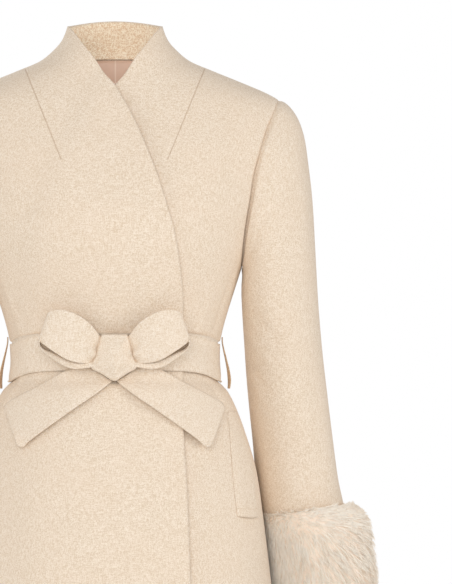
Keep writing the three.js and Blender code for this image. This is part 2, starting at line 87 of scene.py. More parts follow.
# Girth at each height: half the width, the depth before and behind the side seams, and the
# exponent that fills out the ellipse.
BODY = table("""
    z      half   front  back  square
    55     57     49     54    1
    42.5   60     51     56    1
    27.5   66     54     58    1
    12.5   79     58     62    1
    1      93.5   60     66    1
    -10    119    62     71    1
    -25    156    67     78    1
    -40    191    72.5   84    0.98
    -47.5  204    75.5   87    0.97
    -60    216    80.5   91    0.96
    -75    220.5  86.5   95    0.94
    -100   219.5  97     101   0.92
    -125   210    105.5  105   0.9
    -150   199.5  113    107   0.88
    -195   181    122    108   0.86
    -230   167.5  121    107   0.86
    -257   158.5  116    104   0.86
    -285   149.5  110    100   0.86
    -315   140    103    96    0.86
    -335   134.5  99     94    0.86
    -345   132.3  96.8   91.8  0.86
    -348.5 131.3  96     91    0.86
    -351   127.9  95.2   90.2  0.86
    -372   126.6  94     89    0.86
    -393   128.6  95.5   90    0.86
    -400   130.4  98     92.5  0.86
    -404   134    101    95    0.87
    -411   140.3  105    100   0.87
    -430   150.3  110    108   0.88
    -462   162.5  117    117   0.88
    -512   177    126    126   0.9
    -570   185.4  132    133   0.9
    -651   195.3  140    142   0.9
    -800   211    151    155   0.92
    -1040  236    167    172   0.93
""")

# The armhole seam from the shoulder tip down to the underarm.
ARMHOLE = table("""
    z       x
    -47.5   204
    -72     195
    -92     188
    -119    180.6
    -142    175
    -172.5  170
    -196    166
    -223    162
    -257    158.5
""")

# The right front's free edge, from the collar corner to the hem.
WRAP_EDGE = table("""
    z       x
    44.5    -59.4
    35.5    -51
    17      -36
    4       -25.4
    -16.5   -12
    -30     0
    -47     9.5
    -78.5   26
    -112    40.5
    -142.5  52.5
    -182    65.3
    -212.5  73.4
    -254    80
    -308    84
    -462    84
    -527    87.75
    -652    92.5
    -1040   99
""")

# How far the free edge rolls up off the lower front. The belt holds it flat.
EDGE_ROLL = table("""
    z      lift
    44.5   0
    -25    0.6
    -60    4.6
    -115   4.4
    -170   2.2
    -300   1.6
    -342   0.3
    -425   0.2
    -452   2.6
    -480   3.8
    -560   3.4
    -1040  4
""")

# The skirt's soft flutes, deepest at the hem: where round it, how deep and how wide in degrees.
FLUTES = table("""
    at    depth  width
    -52   5      20
    6     -3     24
    56    4.5    18
    128   5      18
    172   -4     20
    226   5.5    19
""")

# Soft creases of the worn cloth. Each runs from one place to another, angle and height, and
# stands out by its depth over its half-width. Those by the waist come out from under the belt.
BODY_CREASES = table("""
    from_turn  from_z  to_turn  to_z   depth  width
    -66        -246    -58      -352   1.5    8
    -45        -268    -38      -352   -1.2   7
    -24        -288    -20      -352   1.0    6
    -3         -278    0        -352   -0.9   7
    16         -262    15       -352   1.1    7
    36         -250    31       -352   -1.3   7
    54         -272    48       -352   1.3    7
    72         -236    64       -352   -1.3   8
    -60        -376    -68      -462   1.5    8
    -38        -376    -42      -446   -1.3   7
    -17        -376    -18      -440   1.0    7
    8          -376    8        -452   -1.1   7
    33         -376    38       -458   1.3    8
    58         -376    66       -470   -1.4   8
    112        -246    120      -352   1.8    9
    134        -270    139      -352   -1.6   8
    156        -262    158      -352   1.7    8
    178        -240    180      -352   -1.7   9
    201        -268    199      -352   1.6    8
    223        -250    217      -352   -1.7   8
    246        -240    238      -352   1.8    9
    118        -376    110      -468   1.7    9
    142        -376    138      -450   -1.5   8
    166        -376    165      -470   1.6    8
    190        -376    192      -455   -1.6   9
    214        -376    218      -446   1.5    8
    238        -376    246      -466   -1.7   9
    58         -232    26       -176   -1.6   13
    -56        -228    -24      -170   -1.4   14
    44         -74     52       -170   -1.5   20
    -44        -72     -53      -165   -1.6   20
    146        -66     136      -190   -1.8   20
    214        -70     222      -180   -1.7   21
    -30        -480    -34      -1000  -1.8   24
    34         -500    40       -1010  1.6    22
    104        -480    108      -990   1.8    22
    153        -490    150      -1000  -2.0   24
    204        -500    207      -1010  1.9    22
""")


def smooth(value, low, high):
    share = np.clip((value - low) / (high - low), 0, 1)
    return share * share * (3 - 2 * share)


def along(rows, key, at, by="z"):
    """A column of a table on a smooth curve that never overshoots its rows."""
    order = np.argsort(rows[by])
    places, values = rows[by][order], rows[key][order]
    slopes = np.diff(values) / np.diff(places)
    before, after = np.r_[slopes[0], slopes], np.r_[slopes, slopes[-1]]
    same_way = before * after > 0
    tangents = np.where(same_way, 2 * before * after / np.where(same_way, before + after, 1), 0)
    i = np.clip(np.searchsorted(places, at, side="right") - 1, 0, len(places) - 2)
    span = places[i + 1] - places[i]
    t = np.clip((at - places[i]) / span, 0, 1)
    bend = span * t * (1 - t) * ((1 - t) * tangents[i] - t * tangents[i + 1])
    return values[i] + (values[i + 1] - values[i]) * t * t * (3 - 2 * t) + bend


def section(z, behind):
    """The ellipse at a height, and the angle from the centre where the panel ends on it."""
    half = along(BODY, "half", z)
    depth = np.where(behind, along(BODY, "back", z), along(BODY, "front", z))
    square = along(BODY, "square", z)
    at_armhole = (z <= SHOULDER) & (z >= UNDERARM)
    held = np.where(at_armhole, np.minimum(along(ARMHOLE, "x", z) / half, 1), 1)
    return half, depth, square, np.arcsin(held ** (1 / square))


def between(angle, other):
    return np.arctan2(np.sin(angle - other), np.cos(angle - other))


def flute(angle, z):
    grown = smooth(-z, -FLUTE_START, -HEM)
    off = [between(angle, math.radians(at)) / math.radians(width)
           for at, width in zip(FLUTES["at"], FLUTES["width"])]
    stand = sum(depth * np.exp(-o ** 2) for depth, o in zip(FLUTES["depth"], off))
    return grown * stand * np.cos(angle) ** 2


def surface(angle, z):
    """Points of the coat's outer surface."""
    half, depth, square, _ = section(z, np.cos(angle) < 0)
    sine, cosine = np.sin(angle), np.cos(angle)
    swell = 1 + flute(angle, z) / depth
    x = half * np.sign(sine) * np.abs(sine) ** square * swell
    y = -depth * np.sign(cosine) * np.abs(cosine) ** square * swell
    return np.stack([x, y, z + 0 * x], -1)


def creases(angle, z, rows, radius):
    """How far a table's creases stand out. radius turns angles into lengths round the piece."""
    out = np.zeros(np.broadcast(angle, z).shape)
    for from_turn, from_z, to_turn, to_z, depth, width, _ in zip(*rows.values()):
        share = np.clip((from_z - z) / (from_z - to_z), 0, 1)
        line = np.radians(from_turn + (to_turn - from_turn) * share)
        fade = smooth(share, 0, 0.45) * smooth(1 - share, 0, 0.2)
        out += depth * fade * np.exp(-(between(angle, line) * radius / width) ** 2)
    return out


def belt_dip(angle):
    """How much lower the belt lies towards the sides than at the centre."""
    return BELT_DIP * np.sin(angle) ** 6


def held_height(angle, z):
    """The height whose girth the cloth has at z. Under the belt it is the waist's."""
    level = z + belt_dip(angle)
    under_belt = (level < BELT_TOP - BELT_BITE) & (level > BELT_BOTTOM)
    return np.where(under_belt, np.clip(z, *WAIST), z)


def coat(angle, z, out, worn=True):
    """Points of the coat moved out along its surface, with its creases where it is worn cloth."""
    turn, step = 0.01, 1.5
    girth = held_height(angle, z)
    across = surface(angle + turn, girth) - surface(angle - turn, girth)
    down = surface(angle, girth - step) - surface(angle, girth + step)
    normal = np.cross(down, across)
    normal /= np.linalg.norm(normal, axis=-1, keepdims=True)
    if worn:
        over_belt = z - BELT_TOP + belt_dip(angle)
        fold = smooth(over_belt, -2.0, 1.0) * np.exp(-(np.maximum(over_belt - 3, 0) / 14) ** 2)
        bagged = BLOUSE * fold * (1 - np.sin(angle) ** 6)
        out = out + bagged + creases(angle, z, BODY_CREASES, BODY_RADIUS)
    points = surface(angle, girth) + normal * np.asarray(out)[..., None]
    points[..., 2] += z - girth
    return points


def angle_at(x, z):
    half, _, square, _ = section(z, False)
    return np.sign(x) * np.arcsin(np.minimum((np.abs(x) / half) ** (1 / square), 1))


def lap_at(x, z):
    """How far the right front stands off at x, over the left front and down to its own side."""
    full = LAP + HEM_LAP * smooth(-z, -FLUTE_START, -HEM)
    return full * smooth(x + along(WRAP_EDGE, "x", z), -LAP_START, -LAP_END)


def panel_heights():
    """Heights of a panel's rows: close together at the armhole's ends and by the belt."""
    middle, half = (SHOULDER + UNDERARM) / 2, (SHOULDER - UNDERARM) / 2
    armhole = middle + half * np.cos(np.linspace(0, np.pi, 56))
    neck = np.linspace(COLLAR_TOP, SHOULDER, 30)[:-1]
    waist = np.r_[np.linspace(UNDERARM, -324, 16)[1:], np.linspace(-324, -356, 32)[1:],
                  np.linspace(-356, -390, 10)[1:]]
    hip = np.linspace(-390, -416, 12)[1:]
    return np.concatenate([neck, armhole, waist, hip, np.linspace(-416, HEM, 118)[1:]])


def spread(columns, ends=0.3):
    """Even steps from 0 to 1, drawn a little closer together at both ends."""
    t = np.linspace(0, 1, columns)
    return t - ends * np.sin(2 * np.pi * t) / (2 * np.pi)


def grid(points_at, columns):
    """A grid of points from a rule that takes a column's share across and the rows' heights."""
    share, z = np.meshgrid(spread(columns), panel_heights())
    return points_at(share, z)


RIM = 0.15  # how far a cut edge rounds out, as a share of the cloth's thickness


def shell(outer, inner, closed=False):
    """Points and faces of a thin wall between two grids. Faces come as outer, inner and rim."""
    rows, columns = outer.shape[:2]
    ids = np.arange(rows * columns).reshape(rows, columns)
    wide = np.c_[ids, ids[:, :1]] if closed else ids
    front = np.stack([wide[:-1, :-1], wide[1:, :-1], wide[1:, 1:], wide[:-1, 1:]], -1).reshape(-1, 4)
    back = front[:, ::-1] + ids.size
    r, c = np.divmod(ids, columns)
    if closed:
        loops = [ids[0], ids[-1, ::-1]]
        inside = ids[np.clip(r, 1, rows - 2), c]
    else:
        loops = [np.concatenate([ids[0], ids[1:, -1], ids[-1, -2::-1], ids[-2:0:-1, 0]])]
        inside = ids[np.clip(r, 1, rows - 2), np.clip(c, 1, columns - 2)]
    points = [outer.reshape(-1, 3), inner.reshape(-1, 3)]
    rim, first = [], 2 * ids.size
    for loop in loops:
        near, far = points[0][loop], points[1][loop]
        away = near - points[0][inside.ravel()[loop]]
        away /= np.linalg.norm(away, axis=1, keepdims=True) + 1e-9
        thick = np.linalg.norm(near - far, axis=1, keepdims=True)
        points.append((near + far) / 2 + away * thick * RIM)
        middle = np.arange(first, first + len(loop))
        rim.append(np.stack([loop, np.roll(loop, -1), np.roll(middle, -1), middle], -1))
        rim.append(np.stack([middle, np.roll(middle, -1), np.roll(loop, -1) + ids.size,
                             loop + ids.size], -1))
        first += len(loop)
    return np.concatenate(points), front, back, np.concatenate(rim)


def add_piece(name, points, faces, finishes, finish_of=None):
    """A smooth mesh object from points in millimetres. It rides with the coat."""
    mesh = bpy.data.meshes.new(name)
    mesh.from_pydata((points * MM).tolist(), [], faces)
    for finish in finishes:
        mesh.materials.append(finish)
    if finish_of is not None:
        mesh.polygons.foreach_set("material_index", finish_of)
    mesh.polygons.foreach_set("use_smooth", np.ones(len(mesh.polygons), dtype=bool))
    mesh.update()
    piece = bpy.data.objects.new(name, mesh)
    bpy.context.collection.objects.link(piece)
    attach(piece, "root")
    return piece


def add_shell(name, outer, inner, finishes, closed=False, lined=None):
    """A thin wall. lined says for each inner face which of the finishes lies there."""
    points, front, back, rim = shell(outer, inner, closed)
    finish_of = np.zeros(len(front) + len(back) + len(rim), dtype=np.int32)
    if lined is not None:
        finish_of[len(front):len(front) + len(back)] = lined
    faces = np.concatenate([front, back, rim]).tolist()
    return add_piece(name, points, faces, finishes, finish_of)


def to_linear(code):
    """An sRGB hex colour as linear RGBA."""
    srgb = np.array([int(code[i:i + 2], 16) for i in (1, 3, 5)]) / 255
    linear = np.where(srgb <= 0.04045, srgb / 12.92, ((srgb + 0.055) / 1.055) ** 2.4)
    return (*linear.tolist(), 1.0)


def add_node(tree, kind, inputs, **settings):
    """Adds a shader node with its settings. An input is a value, or another node's output."""
    made = tree.nodes.new("ShaderNode" + kind)
    for name, value in settings.items():
        setattr(made, name, value)
    for socket, value in inputs.items():
        if isinstance(value, bpy.types.NodeSocket):
            tree.links.new(value, made.inputs[socket])
        else:
            made.inputs[socket].default_value = value
    return made


def new_material(name, **values):
    """A material, its node tree, its shader and the object coordinates that patterns lie in."""
    material = bpy.data.materials.new(name)
    material.use_nodes = True
    tree = material.node_tree
    shader = tree.nodes["Principled BSDF"]
    for socket, value in values.items():
        shader.inputs[socket.replace("_", " ")].default_value = value
    place = add_node(tree, "TexCoord", {}).outputs["Object"]
    return material, tree, shader, place


LOOP_SIZE = 1.0  # mm across one curl of the yarn
SLUB_LENGTH = 7  # mm along a thick stretch of yarn
SHADE_SIZE = 60  # mm across a faintly warmer or paler patch
SHADE_DEPTH = 0.22  # how much of the warm tone such a patch takes at most
YARN_BLEND = 0.13  # the smaller it is, the harder the yarn's two tones part
NAP_HEIGHT = 0.5  # mm that the curls stand up


def boucle(name, pale, deep, warm, loop_size=LOOP_SIZE, grain=1.0, darted=False):
    """Wool boucle: looped yarn in two close tones, quite matt, with a soft bloom of loose fibre."""
    material, tree, shader, place = new_material(
        name, Roughness=0.92, Sheen_Weight=0.12, Sheen_Roughness=0.5, IOR=1.45)
    loop = 1 / (loop_size * MM)
    curls = add_node(tree, "TexNoise", {"Vector": place, "Scale": loop, "Detail": 2.0})
    slubs = []
    for stretch in ((loop, loop, 1 / (SLUB_LENGTH * MM)), (1 / (SLUB_LENGTH * MM), loop, loop)):
        laid = add_node(tree, "Mapping", {"Vector": place, "Scale": stretch})
        slubs.append(add_node(tree, "TexNoise", {"Vector": laid.outputs[0], "Scale": 1.0,
                                                 "Detail": 1.0}).outputs["Fac"])
    weave = add_node(tree, "Math", {0: slubs[0], 1: slubs[1]}, operation="ADD").outputs[0]
    both = add_node(tree, "Math", {0: weave, 1: 0.45, 2: curls.outputs["Fac"]},
                    operation="MULTIPLY_ADD").outputs[0]
    spread_of = YARN_BLEND / grain
    yarn = add_node(tree, "MapRange", {"Value": both, "From Min": 0.95 - spread_of,
                                       "From Max": 0.95 + spread_of}).outputs[0]
    tone = add_node(tree, "Mix", {"Factor": yarn, 6: to_linear(deep), 7: to_linear(pale)},
                    data_type="RGBA").outputs[2]
    patch = add_node(tree, "TexNoise", {"Vector": place, "Scale": 1 / (SHADE_SIZE * MM),
                                        "Detail": 3.0}).outputs["Fac"]
    patchy = add_node(tree, "MapRange", {"Value": patch, "From Min": 0.35, "From Max": 0.7,
                                         "To Max": SHADE_DEPTH}).outputs[0]
    tone = add_node(tree, "Mix", {"Factor": patchy, 6: tone, 7: to_linear(warm)},
                    data_type="RGBA").outputs[2]
    height = both
    # Along the dart's seam the colour darkens towards brown. This is a painted shade, added to the
    # valley that the bump presses in.
    if darted:
        sewn = dart_painted_shade(tree, place)
        tone = add_node(tree, "Mix", {"Factor": sewn, 6: tone, 7: to_linear("#b08a64")},
                        data_type="RGBA").outputs[2]
        height = add_node(tree, "Math", {0: sewn, 1: -2.0, 2: both},
                          operation="MULTIPLY_ADD").outputs[0]
    tree.links.new(tone, shader.inputs["Base Color"])
    bump = add_node(tree, "Bump", {"Height": height, "Strength": 0.7, "Distance": NAP_HEIGHT * MM})
    tree.links.new(bump.outputs[0], shader.inputs["Normal"])
    return material


def dart_painted_shade(tree, place):
    """How much painted shade lies along the dart's seam line: 0.42 on it, falling to 0 by 1.1 mm off
    it, on both sides of the coat's front.
    """
    top, point = [np.array([x, 0, z]) * MM for x, z in DART.values()]
    run = point - top
    turned = add_node(tree, "VectorMath", {0: place}, operation="ABSOLUTE").outputs[0]
    split = add_node(tree, "SeparateXYZ", {0: turned}).outputs
    upright = add_node(tree, "SeparateXYZ", {0: place}).outputs
    flat = add_node(tree, "CombineXYZ", {"X": split["X"], "Y": 0.0, "Z": upright["Z"]}).outputs[0]
    off = add_node(tree, "VectorMath", {0: flat, 1: top}, operation="SUBTRACT").outputs[0]
    dot = add_node(tree, "VectorMath", {0: off, 1: run / run.dot(run)},
                   operation="DOT_PRODUCT").outputs["Value"]
    share = add_node(tree, "Math", {0: dot, 1: 0.0}, operation="ADD", use_clamp=True).outputs[0]
    foot = add_node(tree, "VectorMath", {0: run, "Scale": share}, operation="SCALE").outputs[0]
    gap = add_node(tree, "VectorMath", {0: off, 1: foot}, operation="DISTANCE").outputs["Value"]
    return add_node(tree, "MapRange", {"Value": gap, "From Min": 0.3 * MM, "From Max": 1.1 * MM,
                                       "To Min": 0.42, "To Max": 0.0}).outputs[0]


COAT_CLOTH = boucle("wool_boucle_coat", "#f8ead9", "#dfcab0", "#eed8c1")
FRONT_CLOTH = boucle("wool_boucle_darted", "#f8ead9", "#dfcab0", "#eed8c1", darted=True)


def satin():
    """Acetate satin lining: fine warp floats give it a soft, low shine and faint ripples."""
    material, tree, shader, place = new_material(
        "satin_lining", Roughness=0.42, Sheen_Weight=0.15, IOR=1.47)
    ripple = add_node(tree, "Mapping", {"Vector": place, "Scale": (70.0, 70.0, 12.0)})
    wave = add_node(tree, "TexNoise", {"Vector": ripple.outputs[0], "Scale": 1.0, "Detail": 2.0})
    tone = add_node(tree, "Mix", {"Factor": wave.outputs["Fac"], 6: to_linear("#cba68d"),
                                  7: to_linear("#dab79f")}, data_type="RGBA").outputs[2]
    # A paler stripe down the centre is a painted highlight, where the pleat's fold would catch the
    # light.
    across = add_node(tree, "SeparateXYZ", {0: place}).outputs["X"]
    off = add_node(tree, "Math", {0: across}, operation="ABSOLUTE").outputs[0]
    pleat = add_node(tree, "MapRange", {"Value": off, "From Min": 0.4 * MM, "From Max": 1.2 * MM,
                                        "To Min": 0.55, "To Max": 0.0}).outputs[0]
    tone = add_node(tree, "Mix", {"Factor": pleat, 6: tone, 7: to_linear("#ecd6c4")},
                    data_type="RGBA").outputs[2]
    tree.links.new(tone, shader.inputs["Base Color"])
    bump = add_node(tree, "Bump", {"Height": wave.outputs["Fac"], "Strength": 0.4,
                                   "Distance": 1.5 * MM})
    tree.links.new(bump.outputs[0], shader.inputs["Normal"])
    return material


SATIN = satin()


def dart_groove(x, z):
    """The shallow valley that the dart's seam presses into the cloth."""
    (top_x, top_z), (point_x, point_z) = DART.values()
    run = np.array([point_x - top_x, point_z - top_z])
    share = np.clip(((np.abs(x) - top_x) * run[0] + (z - top_z) * run[1]) / run.dot(run), 0, 1)
    off = np.hypot(np.abs(x) - top_x - run[0] * share, z - top_z - run[1] * share)
    return -DART_DEPTH * (1 - 0.8 * share) * np.exp(-(off / DART_SPREAD) ** 2)


def armhole_dip(share, z):
    """How far a front's edge sinks where the sleeve's seam pulls it in."""
    deep = ARMHOLE_DEPTH * smooth(-z, -SHOULDER, 90) * (z > UNDERARM)
    return -deep * np.exp(-(share / 0.013) ** 2)


def front_grid(side, out):
    """Outer or inner points of a front, from its side seam or armhole to its free edge."""
    def points_at(share, z):
        seam = section(z, False)[3]
        angle = -seam + share * (angle_at(along(WRAP_EDGE, "x", z), z) + seam)
        x = surface(angle, z)[..., 0]
        stand = out + dart_groove(x, z) + armhole_dip(share, z)
        if side == "right":
            near_edge = along(WRAP_EDGE, "x", z) - x
            rolled = along(EDGE_ROLL, "lift", z) * np.exp(-(near_edge / 15) ** 2)
            stand = stand + lap_at(x, z) + rolled
            points = coat(angle, z, stand)
        else:
            points = coat(-angle, z, stand)
        points[..., 1] = np.minimum(points[..., 1], -SEAM / 2)
        return points
    points = grid(points_at, FRONT_COLUMNS)
    return points[:, ::-1] if side == "left" else points


def front_lining(side, columns):
    """Which inner faces of a front are its facing and hem, 0, and which are lining, 1."""
    z = panel_heights()[:-1]
    share = spread(columns)[:-1]
    width = along(WRAP_EDGE, "x", z) + section(z, False)[0]
    faced = (1 - share)[None] * width[:, None] < FACING_WIDTH
    hemmed = z[:, None] < HEM + HEM_TURN
    lined = 1 - (faced | hemmed)
    return (lined[:, ::-1] if side == "left" else lined).ravel()


for side in ("right", "left"):
    outer, inner = front_grid(side, 0), front_grid(side, -WALL)
    front = add_shell("wool_front_" + side, outer, inner, [FRONT_CLOTH, SATIN],
                      lined=front_lining(side, outer.shape[1]))
    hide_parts("front_" + side)


# --- Back -----------------------------------------------------------------------------------------
# One back panel of the same wool, cut in one with the back of the funnel collar, which rises a
# little at the centre. Side and shoulder seams join it to the fronts. Satin lines it.

COLLAR_RISE = 7  # how much higher the collar stands at the centre back than at the sides
COLLAR_BASE = 4
BACK_COLUMNS = 104


def back_place(share, row, half_angle):
    """Angle and height of a point of the back, with the collar's rise."""
    angle = np.pi - half_angle + 2 * half_angle * share
    rise = COLLAR_RISE * np.clip((row - COLLAR_BASE) / (COLLAR_TOP - COLLAR_BASE), 0, 1)
    return angle, row + rise * np.cos(angle) ** 2


def back_grid(out):
    def points_at(share, row):
        angle, z = back_place(share, row, section(row, True)[3])
        points = coat(angle, z, out)
        points[..., 1] = np.maximum(points[..., 1], SEAM / 2)
        return points
    return grid(points_at, BACK_COLUMNS)


outer, inner = back_grid(0), back_grid(-WALL)
heights = panel_heights()[:-1]
lined = np.repeat((heights > HEM + HEM_TURN) & (heights < COLLAR_BASE), outer.shape[1] - 1)
lined = lined.astype(np.int32)
back = add_shell("wool_back", outer, inner, [COAT_CLOTH, SATIN], lined=lined)
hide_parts("back")


# --- Back neck facing -----------------------------------------------------------------------------
# The inside of the back collar, cut in the coat's own wool with its grain across, so that it looks
# coarser.
# Its tones are warmer than the coat's, a painted shade for the collar's inside, and paler, a painted
# light that brightens it there. It is sewn along the collar's top edge and to the lining below.

FACING_BASE = 5.4
FACING_GAP = 0.7
FACING_WALL = 1.4
INSIDE_GAP = 1.4  # between the back and the lining
INSIDE_COLUMNS = 72
# The facing's colours are the coat's wool made warmer, as painted shade inside the collar, and paler,
# as painted light.
FACING_CLOTH_PAINTED_LIGHT_AND_SHADE = boucle("wool_boucle_facing_painted_light_and_shade", "#fff3dc", "#dfc09d", "#f2d5b5", loop_size=1.3,
                      grain=1.1)


def inside_back(top, base, inset, gap, thick, worn_out):
    """Both faces of a piece that lines the back, its edges inset degrees from the seams."""
    heights = panel_heights()
    rows = np.concatenate([[top], heights[(heights < top - 1) & (heights > base + 1)], [base]])
    share, row = np.meshgrid(spread(INSIDE_COLUMNS, 0), rows)
    angle, z = back_place(share, row, section(row, True)[3] - math.radians(inset))
    depth = -WALL - gap + worn_out(angle, z)
    faces = [coat(angle, z, out, worn=False)[:, ::-1] for out in (depth - thick, depth)]
    return faces


outer, inner = inside_back(COLLAR_TOP - 0.4, FACING_BASE, 4, FACING_GAP, FACING_WALL,
                           lambda angle, z: 0 * z)
facing = add_shell("wool_back_neck_facing", outer, inner, [FACING_CLOTH_PAINTED_LIGHT_AND_SHADE])
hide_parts("back_neck_facing")


# --- Back lining ----------------------------------------------------------------------------------
# Rose-taupe satin below the facing. A pleat is pressed down its centre, so that the shoulders can
# move, and the cloth falls in faint folds beside it.

LINING_BASE = -150
LINING_WALL = 1


def lining_folds(angle, z):
    off = between(angle, math.pi)
    pleat = -1.0 * np.exp(-(off * 90 / 1.6) ** 2)
    return pleat + 0.5 * np.sin(9 * off + 0.6) * smooth(-z, 0, 40)


outer, inner = inside_back(FACING_BASE - INSIDE_GAP, LINING_BASE, 12, INSIDE_GAP, LINING_WALL,
                           lining_folds)
lining = add_shell("satin_back_lining", outer, inner, [SATIN])
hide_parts("back_lining")


# --- Sleeves --------------------------------------------------------------------------------------
# Set-in sleeves of the wool, eased into the armholes so that their heads stand up a little. They
# hang straight, with faint creases inside the elbow and the satin lining showing at the wrist.

ARMHOLE_COLUMNS = 96
SEAM_ALLOWANCE = 6  # how far the sleeve's seam reaches in behind the armhole's edge
SEAM_TURN = 3.4  # how far that edge turns in towards the armhole's middle
SLEEVE_RADIUS = 52  # turns an angle round the sleeve into a length along it
EASE_ROWS = 5  # rows of the table over which the round sleeve takes the armhole's shape

# The sleeve's rings: the outermost and innermost point, half the depth before and behind, and how
# far the ring hangs behind the side seam.
SLEEVE = table("""
    out_x  out_z  in_x   in_z  front  back  behind
    204    -47.5  158.5  -257  63     60    0
    212    -51.5  158.7  -261  64     62    0
    221    -59.5  158.7  -266  64     63    0
    229.5  -73    158.5  -272  63     65    1
    237    -96    158    -280  63     65    2
    242    -130   158    -290  62     64    4
    247    -175   158.5  -303  61     63    7
    250.5  -235   159.5  -322  59     61    12
    254    -298   161.5  -352  57     59    17
    259    -358   164    -390  56     57    23
    265.5  -415   167.5  -430  55     56    30
    272    -468   172    -474  54     55    37
    279    -520   176    -520  53.5   54.5  43
    287    -560   181.5  -562  53     54    48
    291    -600   190.5  -602  53     54    52
    293.5  -648   195.5  -649  53     54    55
    294    -693   199.5  -694  53     54    57
""")

# The sleeve's creases. Angles go round it: 0 outermost, 90 behind, 180 at the side, 270 in front.
SLEEVE_CREASES = table("""
    from_turn  from_z  to_turn  to_z   depth  width
    212        -300    268      -356   -1.8   9
    200        -330    262      -392   1.6    9
    196        -362    250      -428   -1.7   9
    150        -330    96       -384   -1.8   10
    160        -372    112      -430   1.6    10
    300        -110    284      -300   -1.2   15
    322        -90     318      -260   1.1    14
    250        -420    292      -540   -1.3   13
    330        -380    322      -540   1.1    15
    60         -110    76       -300   -1.6   15
    40         -340    52       -540   1.4    15
    112        -430    84       -550   -1.4   14
""")


def ring(rows, at, angle, by="row"):
    """Points of a sleeve-like ring at a place along its table."""
    out_x, out_z, in_x, in_z, front, back, behind = (
        along(rows, key, at, by) for key in ("out_x", "out_z", "in_x", "in_z", "front", "back",
                                             "behind"))
    share = (1 + np.cos(angle)) / 2
    depth = np.where(np.sin(angle) < 0, front, back)
    return np.stack([in_x + (out_x - in_x) * share, behind + depth * np.sin(angle),
                     in_z + (out_z - in_z) * share], -1)


def armhole_points(angle):
    """The seam round the armhole, in step with a ring's angles."""
    middle, half = (SHOULDER + UNDERARM) / 2, (SHOULDER - UNDERARM) / 2
    z = middle + half * np.cos(angle)
    behind = np.sin(angle) >= 0
    seam = section(z, behind)[3]
    points = surface(np.where(behind, np.pi - seam, seam), z)
    points[..., 0] += SEAM + 0.1
    return points


def offset(points, distance, closed=False):
    """A grid of points moved along its own normals."""
    down = np.gradient(points, axis=0)
    if closed:
        across = np.roll(points, -1, axis=1) - np.roll(points, 1, axis=1)
    else:
        across = np.gradient(points, axis=1)
    normal = np.cross(down, across)
    normal /= np.linalg.norm(normal, axis=-1, keepdims=True) + 1e-9
    return points + normal * np.asarray(distance)[..., None]


def unit(vectors):
    return vectors / (np.linalg.norm(vectors, axis=-1, keepdims=True) + 1e-9)


def sleeve_grid():
    """The left sleeve's outer points, eased into the armhole, with its creases."""
    rows = np.r_[np.linspace(0, 3, 22)[:-1], np.linspace(3, SLEEVE["row"][-1], 118)]
    angle, at = np.meshgrid(np.linspace(0, 2 * np.pi, ARMHOLE_COLUMNS + 1)[:-1], rows)
    first = armhole_points(angle) - ring(SLEEVE, 0 * at, angle)
    ease = np.maximum(1 - at / EASE_ROWS, 0) ** 1.5
    points = ring(SLEEVE, at, angle) + first * ease[..., None]
    worn = creases(angle, points[..., 2], SLEEVE_CREASES, SLEEVE_RADIUS)
    head = (0.5 + 0.4 * np.sin(11 * angle)) * smooth(at, 0.1, 0.8) * (1 - smooth(at, 0.8, 2.6))
    deep = 1.0 + 1.6 * smooth(-points[..., 2], 48, 90) + 0.4 * smooth(-points[..., 2], 130, 235)
    points = offset(points, worn + head - deep * (1 - smooth(at, 0, 0.5)), closed=True)
    middle = (0, 0, (SHOULDER + UNDERARM) / 2)
    turned_in = points[:1] + unit((middle - points[:1]) * (0, 1, 1)) * SEAM_TURN
    turned_in = turned_in - (SEAM_ALLOWANCE, 0, 0)
    return np.concatenate([turned_in, (points[:1] + turned_in) / 2, points])


def other_hand(points):
    """The same grid for the other side, its columns turned round so that it still faces out."""
    return (points * (-1, 1, 1))[:, ::-1]


CUFF_FACING = 40  # mm of the wool turned in at the wrist
sleeve_outer = sleeve_grid()
sleeve_inner = offset(sleeve_outer, -WALL, closed=True)
lined = np.repeat(sleeve_outer[:-1, :, 2].mean(axis=1) > SLEEVE["out_z"][-1] + CUFF_FACING,
                  ARMHOLE_COLUMNS).astype(np.int32)
for side, hand in (("left", np.copy), ("right", other_hand)):
    sleeve = add_shell("wool_sleeve_" + side, hand(sleeve_outer), hand(sleeve_inner),
                       [COAT_CLOTH, SATIN], closed=True, lined=lined)
    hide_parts("sleeve_" + side)


# --- Fur cuffs ------------------------------------------------------------------------------------
# Deep bands of long, fine fur on a pelt, sewn round the sleeve ends. The pile is brushed out from
# the upper front, so it falls up over the edge, out to the side and down to the wrist.

FUR_SKIN_TOP = 4  # how far below the pile's upper lip the pelt is sewn on
FUR_SKIN_BOTTOM = -692
FUR_GAP = 0.8
FUR_DEPTH = 140  # from the cuff's upper lip to its lower one
FUR_RADIUS = 66  # turns an angle round the cuff into a length along it
UNDERCOAT = 0.9  # how much of the pile's depth the dense undercoat fills
UNDERCOAT_SINK = 0.02  # how much lower its even surface lies than the highest roots
PELT_COLUMNS = 96
PELT_ROWS = 44
PELT_TOP = 0.05  # the undercoat starts this far down the cuff, so that hair alone makes its lip
STRANDS = 38000
LOCKS = 3400  # strands lie together in this many locks
LOCK_STAND = 1.4  # how unevenly the locks stand off the pile
LOCK_RISE = 2.8  # how unevenly they reach up over the upper lip
STRAND_REACH = 16  # how far along the pile a brushed strand lies
STRAND_WIDTH = 0.8
STRAND_STEPS = 3
PARTING = {"turn": 260, "share": 0.19}  # where round and down the cuff the pile is brushed from

# The pile's outer surface, from its upper lip to its lower one, in the sleeve table's columns.
FUR = table("""
    out_x  out_z  in_x   in_z  front  back  behind
    297    -552   181    -565  60     61    49
    311    -561   181    -572  69     70    50
    321    -581   183.5  -588  74     75    52
    325    -612   188    -616  76     77    54
    330    -644   191.5  -646  77     78    56
    329    -676   194.5  -677  75     76    57
    320    -698   197.5  -698  68     69    58
""")


